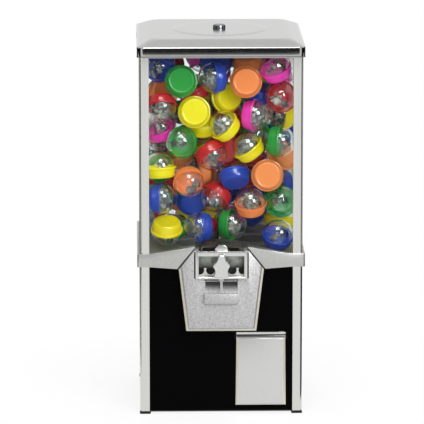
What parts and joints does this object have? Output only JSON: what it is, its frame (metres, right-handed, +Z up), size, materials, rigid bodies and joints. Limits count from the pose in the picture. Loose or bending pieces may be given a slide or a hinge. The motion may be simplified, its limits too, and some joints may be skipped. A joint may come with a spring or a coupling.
{
  "type": "capsule vending machine",
  "caption": "Square coin vending machine for round toy capsules: metal corner posts, clear bin, black base, coin unit with turn handle, prize flap and locked lid.",
  "frame": {"origin": "on the floor under the middle of the base plate, between the four stand bolt holes", "axes": "+Z up, the front with the coin unit faces -Y, +X to the right as seen from the front"},
  "size_m": [0.28, 0.3123, 0.6416],
  "materials": {
    "base_steel": "satin",
    "foot_rubber": "matte",
    "post_aluminium": "satin",
    "panel_black": "gloss",
    "window_clear": "clear",
    "collar_zinc": "satin",
    "inner_steel": "satin",
    "deck_plastic": "satin",
    "wheel_plastic": "satin",
    "bearing_brass": "satin",
    "pinion_plastic": "satin",
    "housing_zinc": "hammered",
    "bezel_chrome": "polished",
    "recess_metal": "satin",
    "handle_chrome": "polished",
    "flap_steel": "satin",
    "drawer_steel": "satin",
    "lock_chrome": "polished",
    "lock_core": "satin",
    "lid_steel": "polished",
    "cap_green": "gloss",
    "cap_orange": "gloss",
    "cap_yellow": "gloss",
    "cap_red": "gloss",
    "cap_blue": "gloss",
    "cap_pink": "gloss",
    "dome_clear": "clear"
  },
  "bodies": {
    "cabinet": {"back_panel": "panel_black", "back_window": "window_clear", "base_plate": "base_steel", "capsule_caps_blue": "cap_blue", "capsule_caps_green": "cap_green", "capsule_caps_orange": "cap_orange", "capsule_caps_pink": "cap_pink", "capsule_caps_red": "cap_red", "capsule_caps_yellow": "cap_yellow", "capsule_chute": "inner_steel", "capsule_domes": "dome_clear", "capsule_guard": "inner_steel", "center_rod": "inner_steel", "coin_cup": "housing_zinc", "coin_funnel": "inner_steel", "coin_housing": "housing_zinc", "collar_back": "collar_zinc", "collar_front_left": "collar_zinc", "collar_front_right": "collar_zinc", "collar_left": "collar_zinc", "collar_right": "collar_zinc", "drawer_guides": "inner_steel", "flap_hood": "bezel_chrome", "flap_pin": "inner_steel", "floor_spacers": "inner_steel", "foot_pads": "foot_rubber", "front_panel": "panel_black", "front_window": "window_clear", "hopper_deck": "deck_plastic", "left_panel": "panel_black", "left_window": "window_clear", "mech_bezel": "bezel_chrome", "mech_cap": "bezel_chrome", "mech_case": "inner_steel", "mech_faceplate": "recess_metal", "post_back_left": "post_aluminium", "post_back_right": "post_aluminium", "post_front_left": "post_aluminium", "post_front_right": "post_aluminium", "right_panel": "panel_black", "right_window": "window_clear", "rod_socket": "inner_steel", "shaft_bushing": "bearing_brass", "top_rails": "inner_steel", "wheel_floor": "inner_steel"},
    "wheel": {"capsule_wheel": "wheel_plastic", "wheel_bushing": "bearing_brass"},
    "handle": {"turn_handle": "handle_chrome", "handle_shaft": "inner_steel", "coin_carrier": "bearing_brass", "drive_pinion": "pinion_plastic", "shaft_clip": "inner_steel"},
    "flap": {"prize_flap": "flap_steel"},
    "lid": {"lid": "lid_steel", "lid_lock_barrel": "lock_chrome"},
    "lid_lock": {"lid_lock_core": "lock_core"},
    "drawer": {"cash_drawer": "drawer_steel", "drawer_lock_barrel": "lock_chrome"},
    "drawer_lock": {"drawer_lock_core": "lock_core"}
  },
  "joints": [
    {"name": "handle_turn", "type": "hinge", "parent": "cabinet", "child": "handle", "pos_m": [0, -0.16, 0.26], "axis": [0, 1, 0], "continuous": true},
    {"name": "wheel_turn", "type": "hinge", "parent": "cabinet", "child": "wheel", "pos_m": [0, 0, 0.25], "axis": [0, 0, 1], "continuous": true},
    {"name": "flap_swing", "type": "hinge", "parent": "cabinet", "child": "flap", "pos_m": [0.0666, -0.137, 0.134], "axis": [-1, 0, 0], "range_deg": [0, 75]},
    {"name": "lid_lift", "type": "slide", "parent": "cabinet", "child": "lid", "axis": [0, 0, 1], "range_m": [0, 0.08]},
    {"name": "lid_lock_turn", "type": "hinge", "parent": "lid", "child": "lid_lock", "pos_m": [0, 0, 0.63], "axis": [0, 0, 1], "range_deg": [0, 90]},
    {"name": "drawer_slide", "type": "slide", "parent": "cabinet", "child": "drawer", "axis": [0, 1, 0], "range_m": [0, 0.17]},
    {"name": "drawer_lock_turn", "type": "hinge", "parent": "drawer", "child": "drawer_lock", "pos_m": [-0.056, 0.135, 0.0582], "axis": [0, 1, 0], "range_deg": [0, 90]}
  ],
  "couplings": [
    {"joint": "wheel_turn", "follows": "handle_turn", "ratio": -0.2}
  ]
}
